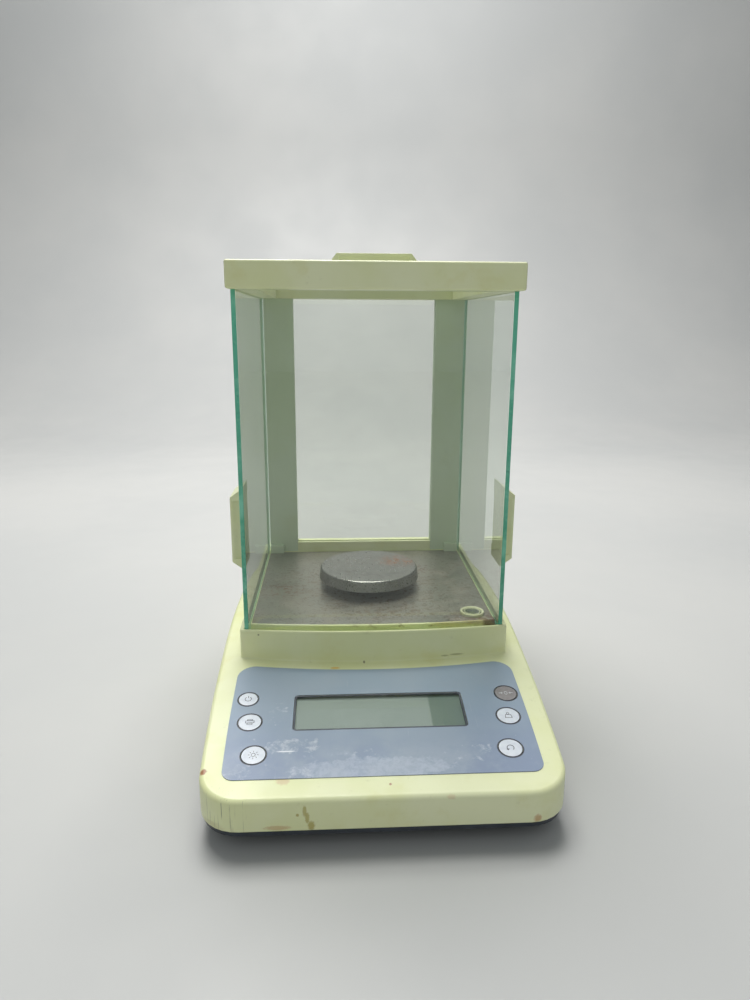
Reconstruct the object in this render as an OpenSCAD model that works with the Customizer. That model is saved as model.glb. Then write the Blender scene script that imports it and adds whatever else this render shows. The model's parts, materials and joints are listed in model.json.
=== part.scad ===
// Analytical balance with a glass draft shield, a membrane control panel and a force-balance cell.
// Frame: origin at the centre of the footprint on the bench, +X to the user's right,
// +Y to the rear, +Z up. Millimetres.

/* [Housing] */
// Overall width of the upper housing, at its widest
body_w = 222; // [219:1:226]
// How far the side walls draw in towards the front corners
side_bow = 2.4; // [0:0.1:3]
// Overall depth of the housing, front to rear
body_d = 340; // [338:1:350]
// Height of the housing's lower edge above the bench
skirt_z = 15.3; // [14.5:0.1:16]
// Height of the control deck where it meets the front face
nose_z = 35.1; // [34:0.1:36.5]
// Rise of the control deck towards the rear, degrees
deck_angle = 10; // [9:0.5:10.5]
// Wall thickness of the moulded housing
wall = 2.5; // [2:0.1:2.8]
// Plan radius of the front corners
corner_r = 25; // [18:1:28]

/* [Plinth] */
// Width of the raised plinth that carries the draft shield
plinth_w = 194; // [193:0.5:196]
// Height of the chamber floor above the bench
floor_z = 80; // [79:0.5:82]
// How far the plinth's front bows forward of its corners
plinth_bow = 7; // [4:0.5:7]

/* [Draft shield] */
// Depth of the control area in front of the glass
control_d = 131; // [129:1:133]
// Thickness of the glass panes
glass_t = 3; // [2.8:0.1:3.2]
// Depth of the side panes, front to rear
door_d = 186; // [182:1:190]
// Underside of the top frame above the bench
frame_z = 314.2; // [290:0.1:330]
// Height of the top frame
frame_h = 17.5; // [16.5:0.1:18.5]
// Width of the top frame
frame_w = 191.2; // [191:0.1:192]

/* [Handles] */
// Length of a side door handle at its base
side_handle_l = 61; // [55:1:66]
// Width of a side door handle
side_handle_w = 30; // [24:1:32]
// Height of a side door handle above the glass
side_handle_h = 8.9; // [7:0.1:10]
// Length of the top door handle at its base
top_handle_l = 66; // [60:0.5:72]

/* [Weighing pan] */
// Diameter of the pan's top
pan_d = 81; // [70:1:90]
// Height of the pan's top above the chamber floor
pan_rise = 15.7; // [15:0.1:18]
// Height of the pan's rim
pan_rim = 8.8; // [8:0.1:9]
// Distance of the pan's centre behind the front glass
pan_back = 90; // [88:1:92]

/* [Spirit level] */
// Diameter of the spirit level's cup
level_d = 18; // [15:0.5:18]
// Sideways place of the level on the chamber floor
level_x = 75.7; // [70:0.1:77]
// Distance of the level behind the front glass
level_back = 23; // [21:1:30]

/* [Control panel] */
// Width of the control overlay
overlay_w = 193.4; // [190:0.2:196]
// Width of the display window
lcd_w = 112; // [100:1:114]
// Height of the display window along the deck
lcd_h = 33.8; // [30:0.1:35]
// Diameter of the key caps
key_d = 14.6; // [13:0.1:15]
// Travel of the keys
key_travel = 0.6; // [0.4:0.1:0.6]

/* [Feet] */
// Diameter of the levelling wheels
foot_d = 28; // [22:1:30]
// Diameter of the levelling screws
foot_screw_d = 6; // [5:0.5:6]

/* [Hidden] */
$fn = 48;

eps = 0.02;         // cutter overshoot
gap = 0.3;          // running gap between bodies that move past each other
plastic = [0.89, 0.92, 0.72];
glass = [0.72, 0.86, 0.8, 0.35];
steel = [0.62, 0.62, 0.6];
cast = [0.7, 0.71, 0.72];

front_y = -body_d / 2;
rear_y = body_d / 2;
glass_y = front_y + control_d;      // front edges of the side panes
rear_corner_r = 8;
middle_y = front_y + 118;           // where the housing is widest
merge_y = front_y + 270;            // where they meet the plinth's sides

// Draft shield layout
pane_in = frame_w / 2 - 5;          // inner face of the side panes
pane_out = pane_in + glass_t;
groove_clear = 0.4;                 // gap beside a pane in its groove
groove_bottom = floor_z - 5.5;
frame_groove_top = frame_z + 5.3;
pane_z0 = groove_bottom + gap;
pane_z1 = frame_groove_top - gap;
fixed_w = pane_in - groove_clear;   // half width of the front pane
lip_t = 1.6;                        // thickness of the plinth's front lip
lip_y = glass_y - 8;                // front of the plinth on the centre line
ridge_y = glass_y + glass_t + 0.2;  // front of the inner ridge on the centre line
ridge_r = 720;                      // plan radius of the inner ridge
plinth_r = (pow(plinth_w / 2, 2) + pow(plinth_bow, 2)) / (2 * plinth_bow);
rim_t = 1.3;                        // width of the ridge between the front groove and the plate
plate_half = pane_in - 0.9;         // half width of the floor plate's seat
plate_front = ridge_y + rim_t + 0.1;
plate_rear = glass_y + 177.4;
plate_t = 1;
plate_drop = 0.5;                   // the floor plate lies this far below the plinth's top
inner_top = floor_z - plate_drop - wall;    // underside of the housing's top wall
post_y = plate_rear + 1.2;
post_d = 12;
post_in = 64;                       // inner edge of the rear posts
post_out = pane_in - 0.7;
rear_pane_y = post_y + 3.2;
rear_pane_half = post_in + 3.7;
frame_front = glass_y - 11.1;
frame_rear = post_y + post_d + 1.8;
frame_top = frame_z + frame_h;
frame_in = 77.5;                      // half width of the frame's opening
slide_z = frame_top - 5;            // underside of the top door
top_half = frame_in + 4;
top_y0 = glass_y + 6;
top_d = 173;

// Weighing cell layout
pan_y = glass_y + pan_back;
pan_z = floor_z + pan_rise;
tray_top = skirt_z;
tray_bottom = 9;
tray_step = 11.6;                   // underside of the tray's outer edge
cell_z = tray_top + 0.7;
cell_h = 6;
receiver_y1 = pan_y + 5;
guide_fixed_y = receiver_y1 + 54;   // hinge line of the parallel guides
upper_guide_z = 65;
lower_guide_z = 27;
pivot_y = receiver_y1 + 22;         // lever pivot line
pivot_z = 47;
lever_front_y = pivot_y - 18;
coil_y = pivot_y + 64;

// Screw places
base_points = [for (s = [-1, 1]) each [[98 * s, -140], [98 * s, 0], [87 * s, 157]]];
serial_x = -66;
inlet_x = 62;
port_z = 38;                        // height of the connectors
foot_x = 78;
foot_y = front_y + 32;
rear_foot_y = rear_y - 30;
panel_s = [35, 63.7, 85.9];         // distance of the key rows up the deck
key_x = [78.2, 83.3, 86.6];
lcd_s = 71.9;
lcd_top = -0.8;                     // underside of the display window below the deck
lcd_bottom = -1.8;                  // face of the display panel below the deck
board_z = -11.6;                    // underside of the display board below the deck
board_points = [for (sx = [-1, 1], s = [22, 96]) [62 * sx, s]];
main_points = [for (sx = [-1, 1], y = [-92, -22]) [64 * sx, y]];
cell_points = [for (sx = [-1, 1], y = [pan_y - 14, coil_y + 12]) [32 * sx, y]];
post_points = [for (sx = [-1, 1]) [76 * sx, post_y + 4.2]];

// ---- Shared shapes ----

// Box between two opposite corners
module block(lo, hi) {
    translate(lo) cube(hi - lo);
}

// Upright round bar between two heights
module bar(d, z0, z1) {
    translate([0, 0, z0]) cylinder(d = d, h = z1 - z0);
}

// The children and their mirror image across the centre plane
module both_sides() {
    children();
    mirror([1, 0, 0]) children();
}

// A side view (Y, Z) given thickness from x0 to x1
module from_side(x0, x1) {
    rotate([90, 0, 90]) translate([0, 0, x0]) linear_extrude(x1 - x0) children();
}

// Coordinates on the sloping control deck: X, distance up the slope, height above it
module on_deck() {
    translate([0, front_y, nose_z]) rotate([deck_angle, 0, 0]) children();
}

// Screw with a pan head: the shank goes up from z = 0, the head hangs below
module screw(d, l) {
    cylinder(d = d, h = l);
    translate([0, 0, -d / 2]) cylinder(d = 1.8 * d, h = d / 2);
}

// Points of an arc about c from angle a0 to a1
function arc(c, r, a0, a1, n) =
    [for (i = [0:n]) let(a = a0 + (a1 - a0) * i / n) c + r * [cos(a), sin(a)]];

function mirrored(right) =
    concat(right, [for (k = [len(right) - 1:-1:0]) [-right[k][0], right[k][1]]]);

function deck_z(y) = min(floor_z, nose_z + (y - front_y) * tan(deck_angle));

// Half width of the housing at y: drawn in a little to the front, and to the plinth at the rear
function half_w(y) = body_w / 2 - (y < middle_y
    ? side_bow * pow((middle_y - y) / (middle_y - front_y - corner_r), 2)
    : (body_w - plinth_w) / 2 * pow((y - middle_y) / (merge_y - middle_y), 3));

// Right-hand half of the housing's plan, moved in by i
function plan_right(i) = let(y0 = front_y + corner_r, n = 14) concat(
    arc([half_w(y0) - corner_r, y0], corner_r - i, -90, 0, 8),
    [for (k = [1:n]) let(y = y0 + (merge_y - y0) * k / n) [half_w(y) - i, y]],
    arc([plinth_w / 2 - rear_corner_r, rear_y - rear_corner_r], rear_corner_r - i, 0, 90, 5));

// Plan area with a bowed front: half width, front on the centre line, rear, radius of the bow
module bowed_plan(half, y0, y1, r) {
    intersection() {
        translate([-half, y0]) square([2 * half, y1 - y0]);
        translate([0, y0 + r]) circle(r, $fn = 360);
    }
}

// The housing's wedge: its plan below the sloping deck, moved in by i, from height z0
module wedge(i, z0) {
    drop = i / cos(deck_angle);
    level = i > 0 ? inner_top : floor_z;
    intersection() {
        translate([0, 0, z0]) linear_extrude(floor_z) polygon(mirrored(plan_right(i)));
        from_side(-body_w, body_w) polygon([[front_y - 1, z0 - 1],
            [front_y - 1, nose_z - drop - tan(deck_angle)],
            [front_y + (level - nose_z + drop) / tan(deck_angle), level],
            [rear_y + 1, level], [rear_y + 1, z0 - 1]]);
    }
}

// Plinth block, moved in by i, between two heights
module plinth(i, z0, z1) {
    translate([0, 0, z0]) linear_extrude(z1 - z0)
        bowed_plan(plinth_w / 2 - i, lip_y + i, rear_y - 40, plinth_r);
}

// ---- Housing ----

module housing_cuts() {
    // grooves for the side panes, open at the rear
    both_sides() block([pane_in - groove_clear, glass_y - 0.2, groove_bottom],
        [pane_out + groove_clear, rear_y + 1, floor_z + 2]);
    // bowed groove for the front pane
    translate([0, 0, groove_bottom]) linear_extrude(10) difference() {
        bowed_plan(fixed_w, lip_y + lip_t, glass_y + 40, plinth_r);
        bowed_plan(fixed_w + 20, ridge_y, glass_y + 60, ridge_r);
    }
    // seat for the floor plate
    translate([0, 0, floor_z - plate_drop - plate_t]) linear_extrude(5)
        bowed_plan(plate_half, plate_front, plate_rear + 0.1, ridge_r);
    // pan spindle, level and post screws
    translate([0, pan_y]) bar(18, cell_z, floor_z);
    translate([level_x, glass_y + level_back]) bar(level_d + 0.4, 60, floor_z);
    for (p = post_points) translate(p) bar(3.4, 60, floor_z + 1);
    // display window and keys
    on_deck() {
        block([-lcd_w / 2, lcd_s - lcd_h / 2, -9], [lcd_w / 2, lcd_s + lcd_h / 2, 5]);
        for (side = [-1, 1], row = [0:2]) at_key(side, row) bar(cap_d(side, row) + 0.8, -9, 5);
        for (p = board_points) translate(p) bar(2.7, -10.5, -2);
    }
    // base screws
    for (p = base_points) translate(p) bar(3.2, 0, 26);
    // opening for the rear panel
    block([-84, rear_y - 9, 25], [84, rear_y + 1, 51]);
}

module upper_housing() color(plastic) difference() {
    union() {
        difference() {
            union() {
                wedge(0, skirt_z);
                plinth(0, 40, floor_z);
            }
            wedge(wall, skirt_z - 2);
            plinth(wall, 20, inner_top);
        }
        // rails below the side grooves and under the front groove
        intersection() {
            both_sides() block([plate_half - 1, lip_y, groove_bottom - 2.2],
                [plinth_w / 2, rear_y, floor_z]);
            union() {
                plinth(0, 40, floor_z);
                wedge(0, skirt_z);
            }
        }
        translate([0, 0, groove_bottom - 2.2]) linear_extrude(floor_z - groove_bottom + 2.2)
            difference() {
                bowed_plan(plinth_w / 2, lip_y, glass_y + 20, plinth_r);
                bowed_plan(plinth_w / 2 + 1, plate_front + 1.5, glass_y + 60, ridge_r);
            }
        // bosses
        for (p = base_points) translate(p) bar(9, tray_top, deck_z(p[1]) - 1);
        on_deck() for (p = board_points) translate(p) bar(6, board_z + 1.6, -wall / 2);
    }
    housing_cuts();
}

module bottom_tray() color([0.2, 0.22, 0.24]) difference() {
    union() {
        translate([0, 0, tray_step]) linear_extrude(tray_top - tray_step)
            polygon(mirrored(plan_right(1.5)));
        translate([0, 0, tray_bottom]) linear_extrude(tray_top - tray_bottom)
            polygon(mirrored(plan_right(6)));
        for (p = cell_points) translate(p) bar(12, tray_top - 1, cell_z);
        for (p = main_points) translate(p) bar(8, tray_top - 1, 20);
        for (sx = [-1, 1]) translate([foot_x * sx, foot_y]) bar(16, tray_top - 1, 20);
    }
    for (p = base_points) translate(p) bar(3.2, 5, 20);
    for (p = cell_points) translate(p) {
        bar(4.2, 5, 20);
        bar(8.2, 5, tray_bottom + 2.2);
    }
    for (p = main_points) translate(p) bar(2.7, 13, 21);
    for (sx = [-1, 1]) translate([foot_x * sx, foot_y]) bar(foot_screw_d + 0.12, 5, 25);
}

// ---- Control panel ----

// Rear edge of the overlay at x, and its half width at the distance s up the deck
function overlay_edge(x) = 115 + 8 * pow(2 * x / overlay_w, 2);
function overlay_half(s) = overlay_w / 2 - 1.4 * pow((88 - s) / 65, 2);

function overlay_right() = let(s0 = 15.7, rf = 7.5, rr = 12, xr = overlay_w / 2 - rr) concat(
    arc([overlay_half(s0 + rf) - rf, s0 + rf], rf, -90, 0, 8),
    [for (s = [36:14:92]) [overlay_half(s), s]],
    arc([xr, overlay_edge(xr) - rr], rr, 0, 90, 8),
    [for (k = [6:-1:0]) let(x = (xr - 1) * k / 7) [x, overlay_edge(x)]]);

// Diameter of a key cap: the power key, rear left, is smaller than the others
function cap_d(side, row) = side < 0 && row == 2 ? key_d - 2 : key_d;

// The children at the place of a key on the deck
module at_key(side, row) {
    translate([side * key_x[row], panel_s[row]]) children();
}

module control_overlay() color([0.52, 0.61, 0.7]) on_deck() linear_extrude(0.4) difference() {
    polygon(mirrored(overlay_right()));
    for (side = [-1, 1], row = [0:2]) at_key(side, row) circle(d = cap_d(side, row) + 0.8);
    translate([-lcd_w / 2, lcd_s - lcd_h / 2]) square([lcd_w, lcd_h]);
}

// Part of the display stack, set in by i, between two heights on the deck
module lcd_layer(i, z0, z1) {
    block([i - lcd_w / 2, lcd_s - lcd_h / 2 + i, z0], [lcd_w / 2 - i, lcd_s + lcd_h / 2 - i, z1]);
}

module lcd_window() color([0.75, 0.8, 0.76, 0.4]) on_deck() lcd_layer(0.2, lcd_top, 0.2);

module lcd_bezel() color([0.08, 0.08, 0.09]) on_deck() difference() {
    lcd_layer(0.2, lcd_bottom, lcd_top);
    lcd_layer(1.4, lcd_bottom - 1, 0);
}

module lcd_module() color([0.62, 0.67, 0.6]) on_deck() lcd_layer(1, board_z + 1.6, lcd_bottom);

module display_board() color([0.1, 0.38, 0.22]) on_deck() difference() {
    block([-92, 18, board_z], [92, 102, board_z + 1.6]);
    for (p = board_points) translate(p) bar(2.7, board_z - 1, board_z + 3);
}

module key_switches() color([0.15, 0.15, 0.16]) on_deck() both_sides()
    for (row = [0:2]) at_key(1, row) {
        block([-3, -3, board_z + 1.6], [3, 3, board_z + 4.6]);
        bar(3.4, board_z + 4.6, board_z + 5.3);
    }

// Key cap with a stem that presses on its switch
module key(side, row) {
    d = cap_d(side, row);
    on_deck() at_key(side, row) {
        bar(d, -1.8, 0.6);
        bar(d - 1.6, 0.5, 0.7);
        bar(3.4, board_z + 5.6 + key_travel, -1.7);
    }
}

module main_board() color([0.1, 0.38, 0.22]) difference() {
    union() {
        block([-70, -98, 20], [70, -16, 21.6]);
        block([-40, -80, 21.5], [-26, -66, 23]);
        block([30, -50, 21.5], [42, -32, 24]);
        for (k = [0:3]) translate([-52 + 9 * k, -30]) bar(7, 21.5, 30);
    }
    for (p = main_points) translate(p) bar(3.3, 19, 23);
}

module signal_shield() color(steel) difference() {
    block([-12, -86, 21.6], [24, -56, 29]);
    block([-11.5, -85.5, 20], [23.5, -56.5, 28.5]);
}

// ---- Draft shield ----

module floor_plate() color(steel) difference() {
    translate([0, 0, floor_z - plate_drop - plate_t]) linear_extrude(plate_t)
        bowed_plan(plate_half - 0.1, plate_front + 0.1, plate_rear, ridge_r);
    translate([0, pan_y]) bar(18, 70, 90);
    translate([level_x, glass_y + level_back]) bar(level_d + 0.4, 70, 90);
}

module front_glass() color(glass)
    block([-fixed_w + 0.1, glass_y, groove_bottom],
        [fixed_w - 0.1, glass_y + glass_t, frame_groove_top]);

module rear_glass() color(glass)
    block([-rear_pane_half, rear_pane_y, floor_z + 4],
        [rear_pane_half, rear_pane_y + glass_t, frame_groove_top - 0.2]);

module side_glass() color(glass)
    block([pane_in, glass_y, pane_z0], [pane_out, glass_y + door_d, pane_z1]);

module left_door_glass() mirror([1, 0, 0]) side_glass();
module right_door_glass() side_glass();

module top_door_glass() color(glass)
    block([-top_half + gap, top_y0, slide_z + gap],
        [top_half - gap, top_y0 + top_d, slide_z + gap + glass_t]);

// Handle bar along Y on a face at z = 0, with sloped ends and a finger scoop along both sides
module handle(w, l, h, slope) color(plastic) difference() {
    from_side(-w / 2, w / 2)
        polygon([[-l / 2, 0], [slope - l / 2, h], [l / 2 - slope, h], [l / 2, 0]]);
    for (s = [-1, 1]) translate([s * (w / 2 + 12), 0, 0]) rotate([90, 0, 0])
        translate([0, 0, 9 - l / 2]) cylinder(d = 28, h = l - 18);
}

module side_handle() translate([pane_out, glass_y + 32, 149]) rotate([90, 0, 90])
    handle(side_handle_w, side_handle_l, side_handle_h, 6.4);

module right_door_handle() side_handle();
module left_door_handle() mirror([1, 0, 0]) side_handle();

module top_door_handle() translate([0, glass_y + 40, slide_z + gap + glass_t]) rotate([0, 0, 90])
    handle(24, top_handle_l, 9.4, 7.5);

module top_frame() color(plastic) difference() {
    block([-frame_w / 2, frame_front, frame_z], [frame_w / 2, frame_rear, frame_top]);
    block([-frame_in, glass_y + 9, frame_z - 1], [frame_in, post_y - 6, frame_top + 1]);
    // grooves for the side panes, open at the rear
    both_sides() block([pane_in - groove_clear, glass_y - 0.3, frame_z - 1],
        [pane_out + groove_clear, frame_rear + 1, frame_groove_top]);
    // grooves for the fixed panes
    block([-fixed_w, glass_y - 0.3, frame_z - 1],
        [fixed_w, glass_y + glass_t + 0.3, frame_groove_top]);
    block([-rear_pane_half - 0.2, rear_pane_y - 0.3, frame_z - 1],
        [rear_pane_half + 0.2, rear_pane_y + glass_t + 0.3, frame_groove_top]);
    // slide for the top door, open at the rear
    block([-top_half, top_y0 - gap, slide_z], [top_half, frame_rear + 1, slide_z + glass_t + 0.6]);
    block([-frame_in, post_y - 7, slide_z], [frame_in, frame_rear + 1, frame_top + 1]);
    for (p = post_points) translate(p) {
        bar(3.2, frame_z - 1, frame_top);
        bar(6.4, slide_z - 2.6, slide_z + 1);
    }
}

// Channel post, open at the rear, with a groove for the rear pane and a foot tab
module post() color(plastic) difference() {
    union() {
        block([post_in, post_y, floor_z], [post_out, post_y + post_d, frame_z]);
        block([post_in + 13, plate_rear - 4.2, floor_z - plate_drop],
            [plate_half - 0.3, plate_rear, floor_z + 7]);
        block([post_in + 13, plate_rear - 1, floor_z], [plate_half - 0.3, post_y + 1, floor_z + 7]);
    }
    block([post_in - 1, rear_pane_y - 0.2, floor_z - 1],
        [rear_pane_half + 0.2, rear_pane_y + glass_t + 0.2, frame_z + 1]);
    block([post_in + 6, post_y + 8.4, floor_z + 10], [post_out - 2, post_y + post_d + 1, frame_z - 10]);
    for (p = [post_points[1]]) translate(p) bar(3.2, floor_z - 1, frame_z + 1);
}

module rear_post_right() post();
module rear_post_left() mirror([1, 0, 0]) post();

module rear_sill() color(plastic) difference() {
    block([-post_in + 0.1, post_y, floor_z], [post_in - 0.1, post_y + post_d, floor_z + 9]);
    block([-post_in, rear_pane_y - 0.2, floor_z + 4],
        [post_in, rear_pane_y + glass_t + 0.2, floor_z + 10]);
}

// ---- Pan and load path ----

module weighing_pan() color(steel) translate([0, pan_y, pan_z]) {
    r = pan_d / 2;
    rotate_extrude($fn = 96) polygon(concat([[0, 0]], arc([r - 1.5, -1.5], 1.5, 90, 6, 4),
        [[r + 1, -pan_rim], [r, -pan_rim], [r - 1, -2], [r - 2, -1.2], [0, -1.2]]));
    rotate_extrude() translate([6.3, -6]) square([2.2, 5]);
}

module pan_support() color(steel) translate([0, pan_y]) difference() {
    union() {
        bar(34, floor_z + 4, floor_z + 5.5);
        bar(14, floor_z + 5, floor_z + 9.2);
        translate([0, 0, floor_z + 9]) cylinder(d1 = 12, d2 = 11.4, h = 5.2);
    }
    bar(8.1, floor_z, floor_z + 12);
}

module load_receiver() color(cast) translate([0, pan_y]) {
    block([-10, -5, 24], [10, 5, 69]);
    bar(8, 68, floor_z + 12);
}

module coupling_strip() color(steel)
    block([-3, receiver_y1, pivot_z - 5], [3, lever_front_y - gap, pivot_z + 5]);

// Parallel guide: plate with thin hinge lands at both ends
module guide(z) color(cast) difference() {
    block([-10, receiver_y1 + gap, z - 1.5], [10, guide_fixed_y - gap, z + 1.5]);
    block([-5, receiver_y1 + 10, z - 3], [5, guide_fixed_y - 10, z + 3]);
    for (y = [receiver_y1 + 5, guide_fixed_y - 5], s = [-1, 1])
        translate([-12, y, z + s * 3.1]) rotate([0, 90, 0]) cylinder(r = 2.6, h = 24);
}

module upper_guide() guide(upper_guide_z);
module lower_guide() guide(lower_guide_z);

module lever_beam() color(cast) {
    block([-5, lever_front_y, pivot_z - 3], [5, coil_y + 5, pivot_z + 3]);
    block([-11, pivot_y - 3, pivot_z - 3], [11, pivot_y + 3, pivot_z]);
    block([4, pivot_y + 22, pivot_z - 0.4], [15, pivot_y + 26, pivot_z + 0.4]);
}

module coil_former() color([0.85, 0.82, 0.72]) translate([0, coil_y]) difference() {
    bar(21.6, 29, pivot_z - 3);
    bar(20.2, 28, pivot_z - 4.2);
}

module coil_winding() color([0.72, 0.4, 0.2]) translate([0, coil_y]) difference() {
    bar(26, 30, 40);
    bar(21.6, 28, 42);
}

module pivot_flexures() color(steel) both_sides()
    block([6.5, pivot_y - 0.2, pivot_z + gap], [10.5, pivot_y + 0.2, pivot_z + 9]);

module position_sensor() color([0.12, 0.12, 0.13]) difference() {
    block([9, pivot_y + 21, pivot_z - 6], [20, guide_fixed_y, pivot_z + 6]);
    block([8, pivot_y + 20, pivot_z - 2], [17, pivot_y + 27.5, pivot_z + 2]);
}

module cell_base() color(cast) difference() {
    union() {
        block([-40, pan_y - 22, cell_z], [40, coil_y + 22, cell_z + cell_h]);
        // columns that hold the guides, either side of the lever
        both_sides() block([12, guide_fixed_y, cell_z], [30, guide_fixed_y + 11, upper_guide_z + 3]);
        block([-13, guide_fixed_y, upper_guide_z - 5], [13, guide_fixed_y + 11, upper_guide_z + 3]);
        block([-13, guide_fixed_y, cell_z], [13, guide_fixed_y + 11, lower_guide_z + 4]);
        // gallows for the lever pivot
        both_sides() block([12.5, pivot_y - 4, cell_z], [20, pivot_y + 4, pivot_z + 13]);
        block([-13, pivot_y - 4, pivot_z + 9], [13, pivot_y + 4, pivot_z + 13]);
    }
    for (p = cell_points) translate(p) bar(4.2, 10, 25);
}

module magnet_yoke() color([0.45, 0.46, 0.48]) translate([0, coil_y]) difference() {
    bar(38, cell_z + cell_h, 41);
    bar(29, cell_z + cell_h + 4, 50);
}

module cell_magnet() color([0.3, 0.3, 0.32]) translate([0, coil_y])
    bar(17.6, cell_z + cell_h + 4, 37);

module pole_piece() color([0.45, 0.46, 0.48]) translate([0, coil_y]) bar(18, 37, 41);

module cell_cover() color([0.75, 0.76, 0.78]) difference() {
    block([-41.2, pan_y - 23.2, cell_z], [41.2, coil_y + 23.2, floor_z - 6]);
    block([-40.2, pan_y - 22.2, cell_z - 1], [40.2, coil_y + 22.2, floor_z - 7]);
    translate([0, pan_y]) bar(14, 60, 90);
}

// ---- Level, connectors, screws and feet ----

module level_cup() color([0.86, 0.85, 0.74]) translate([level_x, glass_y + level_back])
    difference() {
        bar(level_d, floor_z - 7, floor_z + 1.6);
        bar(level_d - 4, floor_z - 5.5, floor_z + 3);
    }

module level_lens() color([0.85, 0.86, 0.7, 0.5]) translate([level_x, glass_y + level_back])
    bar(level_d - 4, floor_z - 1, floor_z + 1.2);

module rear_panel() color([0.6, 0.61, 0.62]) difference() {
    block([-88, rear_y - 4, 21], [88, rear_y - wall, 55]);
    block([serial_x - 9.2, rear_y - 7, port_z - 4.8], [serial_x + 9.2, rear_y, port_z + 4.8]);
    translate([inlet_x, rear_y, port_z]) rotate([90, 0, 0]) cylinder(d = 11.2, h = 9);
}

module dc_inlet() color([0.1, 0.1, 0.1]) translate([inlet_x, rear_y, port_z]) rotate([90, 0, 0])
    difference() {
        union() {
            translate([0, 0, 0.8]) cylinder(d = 15, h = wall - 0.8);
            translate([0, 0, wall - 0.1]) cylinder(d = 11, h = 12);
        }
        difference() {
            cylinder(d = 6, h = 11);
            cylinder(d = 2, h = 12);
        }
    }

module serial_port() color(steel) translate([serial_x, rear_y, port_z]) difference() {
    union() {
        block([-15.6, -13, -6.2], [15.6, -4, 6.2]);
        block([-9, -5, -4.6], [9, -0.6, 4.6]);
    }
    block([-8.2, -6, -3.8], [8.2, 1, 3.8]);
}

module base_screws() color(steel)
    for (p = base_points) translate([p[0], p[1], tray_bottom]) screw(3, 16);

module post_screws() color(steel) for (p = post_points) {
    translate([p[0], p[1], inner_top]) screw(3, 12);
    translate([p[0], p[1], slide_z - 2.6]) mirror([0, 0, 1]) screw(3, 16);
}

module cell_screws() color(steel)
    for (p = cell_points) translate([p[0], p[1], tray_bottom + 2.2]) screw(4, 9);

module board_screws() color(steel) {
    on_deck() for (p = board_points) translate([p[0], p[1], board_z]) screw(2.5, 8);
    for (p = main_points) translate([p[0], p[1], 21.6]) mirror([0, 0, 1]) screw(2.5, 8);
}

// Levelling foot: a knurled wheel and its screw
module foot(side) color([0.16, 0.16, 0.17]) translate([side * foot_x, foot_y]) {
    difference() {
        bar(foot_d, 3, tray_bottom - 0.6);
        for (a = [0:15:345]) rotate(a) translate([foot_d / 2 + 0.6, 0]) bar(3, 2, tray_bottom);
    }
    bar(foot_screw_d, tray_bottom - 1, 26);
}

module foot_pad(side) color([0.1, 0.1, 0.1]) translate([side * foot_x, foot_y])
    bar(foot_d - 6, 0, 3);

module rear_feet() color([0.1, 0.1, 0.1]) both_sides()
    translate([foot_x, rear_foot_y]) cylinder(d1 = 20, d2 = 22, h = tray_bottom);

upper_housing();
bottom_tray();
control_overlay();
lcd_window();
lcd_bezel();
lcd_module();
display_board();
key_switches();
color("white") key(-1, 2);  // key_power
color("white") key(-1, 1);  // key_print
color("white") key(-1, 0);  // key_backlight
color("gray") key(1, 2);  // key_tare
color("white") key(1, 1);  // key_calibrate
color("white") key(1, 0);  // key_mode
main_board();
signal_shield();
floor_plate();
front_glass();
rear_glass();
left_door_glass();
right_door_glass();
top_door_glass();
left_door_handle();
right_door_handle();
top_door_handle();
top_frame();
rear_post_left();
rear_post_right();
rear_sill();
weighing_pan();
pan_support();
load_receiver();
coupling_strip();
upper_guide();
lower_guide();
lever_beam();
coil_former();
coil_winding();
pivot_flexures();
position_sensor();
cell_base();
magnet_yoke();
cell_magnet();
pole_piece();
cell_cover();
level_cup();
level_lens();
rear_panel();
dc_inlet();
serial_port();
base_screws();
post_screws();
cell_screws();
board_screws();
foot(-1);  // left_foot
foot(1);  // right_foot
foot_pad(-1);  // left_foot_pad
foot_pad(1);  // right_foot_pad
rear_feet();
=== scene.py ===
"""Looks of an analytical balance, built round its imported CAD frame. Metres, in the frame's axes."""
import json
import math

import bmesh
import bpy
from mathutils import Matrix, Vector

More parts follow.
